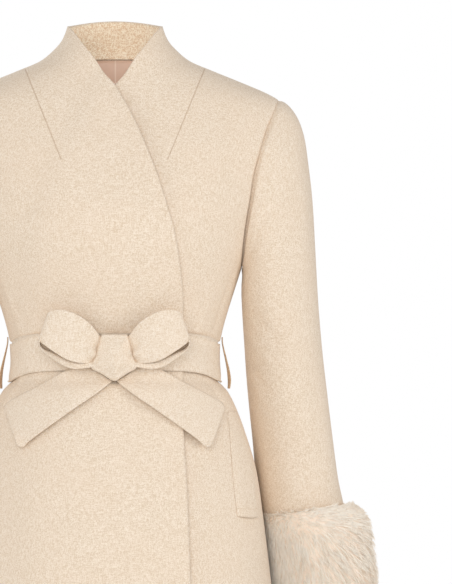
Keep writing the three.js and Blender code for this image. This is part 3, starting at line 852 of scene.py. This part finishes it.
def fur_at(angle, share, lift):
    """A point in the pile: lift 0 on the pelt's sewn side and 1 at the tips."""
    tips = ring(FUR, np.maximum(share, 0) * FUR["row"][-1], angle)
    tips[..., 2] -= (share - np.clip(share, 0, 1)) * FUR_DEPTH
    z = np.maximum(tips[..., 2] - FUR_SKIN_TOP * (1 - share), FUR_SKIN_BOTTOM)
    skin = ring(SLEEVE, z, angle, by="out_z")
    skin[..., 0] += FUR_GAP * np.cos(angle)
    skin[..., 1] += FUR_GAP * np.sin(angle)
    return skin + (tips - skin) * np.asarray(lift)[..., None]


def fur_tips(angle, share, rng):
    """Where the strands' tips lie on the pile: brushed away from the parting, and down behind."""
    turned = between(angle, math.radians(PARTING["turn"]))
    outward = np.sin(turned)
    round_it = 60 * np.where(outward > 0, outward, 0.35 * outward)
    down = (FUR_DEPTH * (share - PARTING["share"]) + 9 * (1 - np.cos(turned))
            + 18 * smooth(-outward, 0, 0.6))
    far = np.hypot(round_it, down)
    reach = STRAND_REACH * rng.uniform(0.6, 1.0, angle.shape) * smooth(far, -6, 30) / (far + 3)
    loose = 2.4 + 6 * np.exp(-(far / 14) ** 2)
    tip_angle = angle + (reach * round_it + loose * rng.normal(0, 1, angle.shape)) / FUR_RADIUS
    tip_share = share + (reach * down + loose * rng.normal(0, 1, angle.shape)) / FUR_DEPTH
    lip = 0.02 + 0.028 * (1 - np.cos(tip_angle)) + rng.normal(0, 0.028, angle.shape)
    over_lip = np.maximum(0.03 - np.maximum(tip_share, lip), 0)
    lift = rng.normal(0.99, 0.045, angle.shape) - 3 * over_lip
    lift += 0.12 * np.exp(-(between(tip_angle, math.radians(212)) / 0.45) ** 2)
    foot = 1 + rng.normal(0.005, 0.025, angle.shape)
    return fur_at(tip_angle, np.clip(tip_share, lip, foot), lift)


def fur_pile(seed):
    """Points, faces and tones of the pile's strands, as tapered ribbons that lie in locks."""
    rng = np.random.default_rng(seed)
    angle = rng.uniform(0, 2 * np.pi, STRANDS)
    share = rng.uniform(0, 1.0, STRANDS)
    root = fur_at(angle, share, UNDERCOAT * rng.uniform(0.7, 1.0, STRANDS))
    out = unit(fur_at(angle, share, 1.0) - fur_at(angle, share, 0.0))
    tip = fur_tips(angle, share, rng)
    picked = rng.choice(STRANDS, LOCKS, replace=False)
    tree = kdtree.KDTree(LOCKS)
    for i, strand in enumerate(picked):
        tree.insert(root[strand], i)
    tree.balance()
    lock = picked[[tree.find(point)[1] for point in root]]
    tip += (tip[lock] - tip) * rng.uniform(0.35, 0.8, STRANDS)[:, None]
    tuft = rng.normal(0, 1, (2, STRANDS))[:, lock]
    tip += out * LOCK_STAND * tuft[0, :, None]
    tip[:, 2] += LOCK_RISE * tuft[1] * np.exp(-share / 0.1)
    beside = np.exp(-(between(angle, math.radians(222)) / 0.5) ** 2)
    tip[:, 1] -= 3 * beside * rng.uniform(0.2, 1, STRANDS)
    length = np.linalg.norm(tip - root, axis=1, keepdims=True)
    bend = root + (tip - root) * 0.35 + out * length * 0.22
    t = np.linspace(0, 1, STRAND_STEPS + 1)[:, None, None]
    line = (1 - t) ** 2 * root + 2 * t * (1 - t) * bend + t ** 2 * tip
    flat = unit(np.cross(tip - root, out + rng.normal(0, 0.3, (STRANDS, 3))))
    width = STRAND_WIDTH * rng.uniform(0.6, 1.15, STRANDS)[:, None] / 2
    taper = (1 - t ** 1.6)[:-1]
    left, right = line[:-1] - flat * width * taper, line[:-1] + flat * width * taper
    points = np.concatenate([left, right, line[-1:]]).reshape(-1, 3)
    own = np.arange(STRANDS)
    faces = []
    for k in range(STRAND_STEPS - 1):
        a, b = k * STRANDS + own, (k + STRAND_STEPS) * STRANDS + own
        faces += np.stack([a, b, b + STRANDS, a + STRANDS], -1).tolist()
    last, other, end = ((STRAND_STEPS - 1) * STRANDS + own, (2 * STRAND_STEPS - 1) * STRANDS + own,
                        2 * STRAND_STEPS * STRANDS + own)
    faces += np.stack([last, other, end], -1).tolist()
    own_tone = rng.normal(0, 0.07, STRANDS) + 0.07 * rng.normal(0, 1, STRANDS)[lock]
    rise = np.concatenate([t[:-1, :, 0], t[:-1, :, 0], [[1.0]]])
    tones = (0.3 + 0.7 * rise ** 0.7 + own_tone).clip(0, 1).reshape(-1)
    return points, faces, tones


def fur():
    """Dyed fox fur: fine guard hairs with a soft bright bloom over a dense, warmer undercoat."""
    material, tree, shader, place = new_material(
        "fox_fur", Roughness=0.7, Sheen_Weight=1.0, Sheen_Roughness=0.5,
        Sheen_Tint=to_linear("#ffe9cf"), IOR=1.55)
    tone = add_node(tree, "Attribute", {}, attribute_name="tone").outputs["Fac"]
    wisps = add_node(tree, "TexNoise", {"Vector": place, "Scale": 45.0, "Detail": 3.0})
    mixed = add_node(tree, "Math", {0: wisps.outputs["Fac"], 1: 0.5, 2: tone},
                     operation="MULTIPLY_ADD").outputs[0]
    share = add_node(tree, "MapRange", {"Value": mixed, "From Min": 0.1, "From Max": 1.1}).outputs[0]
    colour = add_node(tree, "Mix", {"Factor": share, 6: to_linear("#feebd9"),
                                    7: to_linear("#fff9ee")}, data_type="RGBA").outputs[2]
    tree.links.new(colour, shader.inputs["Base Color"])
    return material


FUR_PILE = fur()
angle, share = np.meshgrid(np.linspace(0, 2 * np.pi, PELT_COLUMNS + 1)[:-1],
                           np.linspace(PELT_TOP, 1, PELT_ROWS))
waves = 0.012 * np.sin(5 * angle + 9 * share) * np.sin(7 * share - 3 * angle)
pelt_outer = fur_at(angle, share, UNDERCOAT - UNDERCOAT_SINK + waves)
pelt_inner = fur_at(angle, share, 0.0 * share)
for side, hand, flip, seed in (("left", np.copy, 1, 11), ("right", other_hand, -1, 12)):
    pelt = add_shell("fur_pelt_" + side, hand(pelt_outer), hand(pelt_inner), [FUR_PILE],
                     closed=True)
    points, faces, tones = fur_pile(seed)
    pile = add_piece("fur_pile_" + side, points * (flip, 1, 1), faces, [FUR_PILE])
    pile.data.attributes.new("tone", "FLOAT", "POINT").data.foreach_set("value", tones)
    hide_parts("fur_cuff_" + side)


# --- Belt -----------------------------------------------------------------------------------------
# A flat self-belt of doubled wool round the waist, over both fronts and under the bow. It dips a
# little to the sides, and its turned edges are soft.

BELT_WALL = 3
BELT_GAP = 1.2  # between the belt and the layer below it
BELT_COLUMNS = 320
BELT_ROWS = 18
BELT_CLOTH = boucle("wool_boucle_belt", "#f9ecdc", "#e2ceb5", "#f0dcc6")


def layers_at(angle, z):
    """How far the coat's outermost layer stands out, falling off past the wrap's edge."""
    x = surface(angle, z)[..., 0]
    edge = along(WRAP_EDGE, "x", z)
    return np.where(np.cos(angle) > 0, lap_at(x, z) * (1 - smooth(x, edge + 8, edge + 45)), 0)


def belt_grid(out):
    angle, share = np.meshgrid(np.linspace(0, 2 * np.pi, BELT_COLUMNS + 1)[:-1],
                               np.linspace(0, 1, BELT_ROWS))
    z = BELT_TOP + (BELT_BOTTOM - BELT_TOP) * share - belt_dip(angle)
    wavy = 0.35 * np.sin(7 * angle + 5 * share) + 0.3 * np.sin(17 * angle - 3 * share)
    tilt = 0.9 * smooth(share, 0.75, 1) * np.cos(angle) ** 2
    pillow = -0.5 * np.abs(2 * share - 1) ** 4
    stand = layers_at(angle, z) + BELT_GAP + out + wavy + tilt + (pillow if out else 0)
    return coat(angle, z, stand, worn=False)


belt = add_shell("wool_belt", belt_grid(BELT_WALL), belt_grid(0), [BELT_CLOTH], closed=True)
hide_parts("belt_band")


# --- Bow ------------------------------------------------------------------------------------------
# The belt's ends tied at the centre front: a plump knot, a loop to each side that comes back under
# itself, and two ends with slanted tips. All of it is the belt's doubled wool, soft at the folds.

BOW_WALL = 3
KNOT_BACK = 106.2  # how far its back lies before the side seams
KNOT_MIDDLE = (0, -369)
KNOT_EDGE = 17  # thickness at its rolled edge
KNOT_CROWN = 9  # how much thicker it is in the middle
KNOT_ROUND = 5  # radius of the knot's rolled edge

KNOT = table("""
    z       left   right
    -340    -15.5  16
    -350    -18.6  19
    -360    -21.7  21.8
    -370.5  -25.2  24.9
    -381    -29    28
    -389.5  -15.5  15
    -398    -2     2.4
""")

# A loop, as lines across the band from the knot, round the fold and back beneath.
LOOP = table("""
    top_x  top_z   low_x  low_z   out
    11     -349    20     -372    110
    18     -342.5  28     -375    117
    31     -326.5  41     -375.5  127
    47     -315.5  58     -371.5  130
    63     -310    78     -359.5  128
    76     -310.5  90.5   -350.5  124
    82     -314    94     -349    119
    77     -313    92     -357.5  112
    64     -315    80     -368    112
    42     -330    55     -382    113
    19.5   -346    29.8   -381    113
    12     -350    21     -378    111
""")

# An end, from the knot to its slanting tip, and how far it stands off the coat.
TAIL = table("""
    top_x  top_z   low_x  low_z   off
    28.3   -382    2.9    -398.3  4
    44     -382    26     -416    6.2
    61     -386    47     -430    7.2
    81     -397    69     -445.5  5.2
    102    -408    92     -462    4
    120    -417.5  107    -473.5  3.6
    131.5  -424    114    -480    3.8
    137    -431    121    -477.5  4
""")


def path(points, count):
    """A smooth line through points, as many steps as asked for, even between the points."""
    points = np.asarray(points, dtype=float)
    tangents = np.gradient(points, axis=0)
    at = np.linspace(0, len(points) - 1, count)
    i = np.minimum(at.astype(int), len(points) - 2)
    t = (at - i)[:, None]
    near, far = points[i], points[i + 1]
    return ((2 * t ** 3 - 3 * t ** 2 + 1) * near + (t ** 3 - 2 * t ** 2 + t) * tangents[i]
            + (3 * t ** 2 - 2 * t ** 3) * far + (t ** 3 - t ** 2) * tangents[i + 1])


def band_grid(top, low, steps, across):
    """A band between two edges, and each point's share along it and across it."""
    share = np.linspace(0, 1, across)
    top, low = path(top, steps)[:, None], path(low, steps)[:, None]
    middle = top + (low - top) * share[None, :, None]
    return middle, *np.meshgrid(np.linspace(0, 1, steps), share, indexing="ij")


def ring_faces(ids):
    """Four-sided faces between rings of points, each ring closed."""
    wide = np.c_[ids, ids[:, :1]]
    return np.stack([wide[:-1, :-1], wide[:-1, 1:], wide[1:, 1:], wide[1:, :-1]], -1).reshape(-1, 4)


def doubled(middle, width):
    """Both faces of the belt's doubled cloth, which thins out towards its folded edges."""
    half = BOW_WALL / 2 * (0.75 + 0.25 * np.sin(np.pi * width) ** 0.4)
    return offset(middle, half), offset(middle, -half)


def knot_piece():
    """A pad with rolled edges: rings shrink from its outline to the middle as they rise."""
    z = np.linspace(KNOT["z"][0], KNOT["z"][-1], 30)
    left = np.stack([along(KNOT, "left", z), z], -1)
    right = np.stack([along(KNOT, "right", z), z], -1)
    top = np.stack([np.linspace(right[0, 0], left[0, 0], 14), np.full(14, z[0])], -1)
    outline = np.concatenate([left, right[::-1], top[1:-1]])
    middle = np.array(KNOT_MIDDLE)
    reach = np.linalg.norm(outline - middle, axis=1, keepdims=True)
    roll = np.linspace(0, math.pi / 2, 7)
    inset = np.r_[0, 0, KNOT_ROUND * (1 - np.cos(roll))]
    rise = np.r_[0, KNOT_EDGE * 0.5, KNOT_EDGE - KNOT_ROUND + KNOT_ROUND * np.sin(roll)]
    shares = np.linspace(1, 0.0, 16)[1:]
    rings = []
    for gap, up in zip(inset, rise):
        flat = middle + (outline - middle) * (1 - gap / reach)
        rings.append(np.c_[flat[:, 0], np.full(len(flat), -KNOT_BACK - up), flat[:, 1]])
    last = rings[-1][:, [0, 2]]
    for share in shares:
        flat = middle + (last - middle) * share
        up = KNOT_EDGE + KNOT_CROWN * (1 - share ** 2)
        pull = 0.6 * np.cos((flat[:, 0] - 4) / 4.6) * (1 - share ** 3)
        rings.append(np.c_[flat[:, 0], -KNOT_BACK - up - pull, flat[:, 1]])
    points = np.stack(rings)
    rows, columns = points.shape[:2]
    ids = np.arange(rows * columns).reshape(rows, columns)
    return points.reshape(-1, 3), ring_faces(ids).tolist() + [ids[0, ::-1].tolist()]


points, faces = knot_piece()
knot = add_piece("wool_belt_knot", points, faces, [BELT_CLOTH])
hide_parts("belt_knot")


def loop_grids(uneven):
    """Both faces of a loop. Soft pleats spread over it from where the knot gathers it."""
    top = np.stack([LOOP["top_x"], -LOOP["out"], LOOP["top_z"]], -1)
    low = np.stack([LOOP["low_x"], -LOOP["out"], LOOP["low_z"]], -1)
    middle, length, width = band_grid(top, low, 120, 64)
    gathered = np.exp(-length / 0.14) + 0.5 * np.exp(-(1 - length) / 0.12)
    pleats = 1.0 * np.cos(2 * np.pi * (1.6 * width + uneven)) + 0.4 * np.cos(2 * np.pi * 3.1 * width)
    puff = 2.2 * np.sin(np.pi * width) * np.exp(-((length - 0.27) / 0.16) ** 2)
    dimple = -7 * np.exp(-((length - 0.135) / 0.04) ** 2 - ((width - 0.68) / 0.14) ** 2)
    shaped = offset(middle, gathered * pleats * np.sin(np.pi * width) ** 0.5 + puff + dimple)
    lip_height = 0.03 + 0.12 * smooth(length, 0.64, 0.82)
    lip = smooth(width + lip_height, 0.975, 1.01) * smooth(length, 0.5, 0.56)
    shaped[..., 1] += smooth(length, 0.5, 0.6) * 4.5 - lip * 12.5
    return doubled(shaped, width)


def tail_grids(phase):
    """Both faces of an end. It hangs on the coat's front and waves a little towards its tip."""
    top = np.stack([TAIL["top_x"], 0 * TAIL["off"], TAIL["top_z"]], -1)
    low = np.stack([TAIL["low_x"], 0 * TAIL["off"], TAIL["low_z"]], -1)
    middle, length, width = band_grid(top, low, 84, 26)
    stand = along(TAIL, "off", length * TAIL["row"][-1], by="row")
    x, z = middle[..., 0], middle[..., 2]
    coat_y = surface(angle_at(x, z), z)[..., 1]
    wave = 1.1 * np.sin(9 * length + 2.5 * width + phase) * smooth(length, 0.1, 0.5)
    lifted = width * (2.6 * smooth(length, 0.15, 1) + 8 * width * smooth(length, 0.76, 1))
    middle[..., 1] = coat_y - LAP - stand - BOW_WALL / 2 - wave - lifted
    return doubled(middle, width)


for side, hand, uneven in (("left", np.copy, 0.1), ("right", other_hand, 0.35)):
    outer, inner = loop_grids(uneven)
    loop = add_shell("wool_belt_loop_" + side, hand(outer), hand(inner), [BELT_CLOTH])
    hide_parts("belt_loop_" + side)
    outer, inner = tail_grids(2 * uneven)
    tail = add_shell("wool_belt_tail_" + side, hand(outer), hand(inner), [BELT_CLOTH])
    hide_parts("belt_tail_" + side)


# --- Belt carriers --------------------------------------------------------------------------------
# Narrow strips of the wool, folded and sewn down at both ends across the side seams. They stand off
# in a bow, because the belt is pulled tight behind them.

CARRIER_WIDTH = 10
CARRIER_WALL = 1.6
# The carriers' cloth is the coat's wool in darker, browner tones. This is a painted shade for their
# inner faces and the gap behind them.
CARRIER_CLOTH_PAINTED_SHADE = boucle("wool_boucle_carrier_painted_shade", "#e6cfb2", "#c4a27e", "#d3b391")

CARRIER = table("""
    x      z      twist
    134    -344   0
    134.2  -351   0.3
    136.2  -361   1
    139    -373   1.8
    141.7  -386   2.8
    143    -398   3.4
    142.4  -408   2.4
""")

for side, hand in (("left", np.copy), ("right", other_hand)):
    front_edge, back_edge = (
        np.stack([CARRIER["x"] - share * CARRIER["twist"],
                  share * CARRIER_WIDTH + 0 * CARRIER["x"], CARRIER["z"]], -1)
        for share in (-0.5, 0.5))
    middle, length, width = band_grid(front_edge, back_edge, 44, 9)
    round_over = CARRIER_WALL / 2 * (0.6 + 0.4 * np.sin(np.pi * width) ** 0.5)
    carrier = add_shell("wool_belt_carrier_" + side, hand(offset(middle, round_over)),
                        hand(offset(middle, -round_over)), [CARRIER_CLOTH_PAINTED_SHADE])
    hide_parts("belt_carrier_" + side)


# --- Pocket welts ---------------------------------------------------------------------------------
# Slanting flaps of the wool over the pockets' mouths, sewn flat on the fronts along their edges,
# with a short row of hand stitches across the lower end.

WELT_GAP = 0.2
WELT_WALL = 2.6
STITCH_LENGTH = 2.6
STITCH_PITCH = 4.2
THREAD_HALF = 0.38  # half the thread's width
SEWN_ROW = -6  # the welt's row of points that the stitches follow, counted from its lower end

# Where the inner edge is across the coat, and the outer one round it in degrees.
WELT = table("""
    z       x      turn
    -436    141.8  80.7
    -460    143    79.5
    -497    145.5  77.5
    -532    148.5  75.5
    -566.6  152.5  73.5
""")


def welt_grid(out):
    share, z = np.meshgrid(spread(26), np.linspace(WELT["z"][0], WELT["z"][-1], 70))
    inner_edge = angle_at(along(WELT, "x", z), z)
    outer_edge = np.radians(along(WELT, "turn", z))
    height = out * smooth(share, -0.12, 0.22) * smooth(1 - share, -0.05, 0.2)
    height = height * (0.15 + 0.85 * smooth(-z, 432, 505))
    sag = -2.2 * np.sin(np.pi * share) * smooth(-z, 540, 566)
    lifted = (2.6 if out else 1.6) * smooth(-z, 548, 566) * np.sin(np.pi * share)
    angle = inner_edge + share * (outer_edge - inner_edge)
    return coat(angle, z + sag, WELT_GAP + height + lifted)


def stitches(centres, ways, out):
    """Small oval stitches at centres, each along its way and half sunk in the cloth."""
    around, lengthwise = np.meshgrid(np.linspace(0, 2 * np.pi, 9)[:-1], np.linspace(0, 1, 7))
    fat = THREAD_HALF * np.sin(np.pi * (0.06 + 0.88 * lengthwise)) ** 0.6
    count = around.size
    points, faces = [], []
    for centre, way, up in zip(centres, ways, out):
        side_way = np.cross(way, up)
        shape = (centre + np.multiply.outer((lengthwise - 0.5) * STITCH_LENGTH, way)
                 + np.multiply.outer(fat * np.cos(around), side_way)
                 + np.multiply.outer(fat * np.sin(around), up))
        ids = np.arange(count).reshape(around.shape) + len(points) * count
        faces += ring_faces(ids).tolist() + [ids[0, ::-1].tolist(), ids[-1].tolist()]
        points.append(shape.reshape(-1, 3))
    return np.concatenate(points), faces


def thread():
    """Spun polyester thread in the cloth's shade, slightly glossier than the wool."""
    material, tree, shader, place = new_material("sewing_thread", Roughness=0.6, IOR=1.5)
    twist = add_node(tree, "TexNoise", {"Vector": place, "Scale": 1 / (0.5 * MM)}).outputs["Fac"]
    tone = add_node(tree, "Mix", {"Factor": twist, 6: to_linear("#cdae8b"), 7: to_linear("#e8d2b5")},
                    data_type="RGBA").outputs[2]
    tree.links.new(tone, shader.inputs["Base Color"])
    return material


THREAD = thread()
welt_outer, welt_inner = welt_grid(WELT_WALL), welt_grid(0)
seam_row = welt_outer[SEWN_ROW]
run = np.r_[0, np.cumsum(np.linalg.norm(np.diff(seam_row, axis=0), axis=1))]
at = np.arange(STITCH_PITCH / 2, run[-1] - 1, STITCH_PITCH)
centres = np.stack([np.interp(at, run, seam_row[:, k]) for k in range(3)], -1)
ways = unit(np.stack([np.interp(at + 1, run, seam_row[:, k]) for k in range(3)], -1) - centres)
up = unit(np.cross(ways, [0, 0, 1.0]))
for side, hand, flip in (("left", np.copy, 1), ("right", other_hand, -1)):
    welt = add_shell("wool_pocket_welt_" + side, hand(welt_outer), hand(welt_inner), [COAT_CLOTH])
    points, faces = stitches(centres, ways, up)
    sewn = add_piece("welt_stitches_" + side, points * (flip, 1, 1), faces, [THREAD])
    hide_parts("pocket_welt_" + side)


# --- Floor, light and camera ----------------------------------------------------------------------
# A plain pale floor under the hem, a white room with soft light from the front, the sides and
# behind, and a long lens a little above the bow.

FLOOR = -1.42  # metres, as all sizes in this section are
VIEW_HEIGHT = 0.730  # how much of the coat the view takes in from top to bottom
VIEW_CENTRE = (0.13875, -0.2875)  # across and up
DISTANCE = 20.0  # from the coat to the lens
SENSOR = 36.0  # millimetres, as lenses are sold


def floor_paint():
    """Matt white paint, rolled on, with a barely uneven tone."""
    material, tree, shader, place = new_material("matt_floor_paint", Roughness=0.85)
    uneven = add_node(tree, "TexNoise", {"Vector": place, "Scale": 6.0}).outputs["Fac"]
    tone = add_node(tree, "Mix", {"Factor": uneven, 6: to_linear("#e9e7e4"), 7: to_linear("#efedea")},
                    data_type="RGBA").outputs[2]
    tree.links.new(tone, shader.inputs["Base Color"])
    return material


bpy.ops.mesh.primitive_plane_add(size=5, location=(0, 0, FLOOR))
floor = bpy.context.object
floor.name = "floor"
floor.data.materials.append(floor_paint())

scene = bpy.context.scene
world = bpy.data.worlds.new("white_room")
scene.world = world
world.use_nodes = True
room = world.node_tree
seen = room.nodes["Background"]
seen.inputs["Color"].default_value = (1, 1, 1, 1)
seen.inputs["Strength"].default_value = 1.0
fill = add_node(room, "Background", {"Color": (1.0, 0.985, 0.97, 1), "Strength": 0.51})
direct = add_node(room, "LightPath", {}).outputs["Is Camera Ray"]
shown = add_node(room, "MixShader", {0: direct, 1: fill.outputs[0], 2: seen.outputs[0]})
room.links.new(shown.outputs[0], room.nodes["World Output"].inputs["Surface"])

# Lamps: where each stands, what it is aimed at, how wide it is and how strong. The small one hangs
# inside the coat and lights the back of its collar.
COAT_MIDDLE = (0, 0, -0.35)
LAMPS = [
    ("front_softbox", (-0.45, -4.0, 0.4), COAT_MIDDLE, 2.4, 50),
    ("left_softbox", (-3.2, -1.8, 0.1), COAT_MIDDLE, 1.8, 19),
    ("right_softbox", (3.2, -1.8, 0.1), COAT_MIDDLE, 1.8, 34),
    ("back_softbox", (-1.2, 3.2, 1.4), COAT_MIDDLE, 1.8, 35),
    ("collar_lamp", (0, -0.03, -0.085), (0, 0.065, 0), 0.06, 0.068),
]
for name, place, target, width, power in LAMPS:
    lamp = bpy.data.lights.new(name, "AREA")
    lamp.shape = "DISK"
    lamp.size = width
    lamp.energy = power
    stand = bpy.data.objects.new(name, lamp)
    bpy.context.collection.objects.link(stand)
    stand.visible_camera = False
    stand.location = place
    aim = np.subtract(target, place)
    stand.rotation_euler = (math.pi - math.acos(aim[2] / np.linalg.norm(aim)), 0,
                            math.atan2(aim[1], aim[0]) - math.pi / 2)

lens = bpy.data.cameras.new("catalogue_lens")
lens.sensor_width = SENSOR
lens.lens = SENSOR * DISTANCE / VIEW_HEIGHT
lens.clip_end = 100
camera = bpy.data.objects.new("catalogue_camera", lens)
bpy.context.collection.objects.link(camera)
camera.location = (VIEW_CENTRE[0], -DISTANCE, VIEW_CENTRE[1])
camera.rotation_euler = (math.pi / 2, 0, 0)
scene.camera = camera
scene.view_settings.view_transform = "Standard"
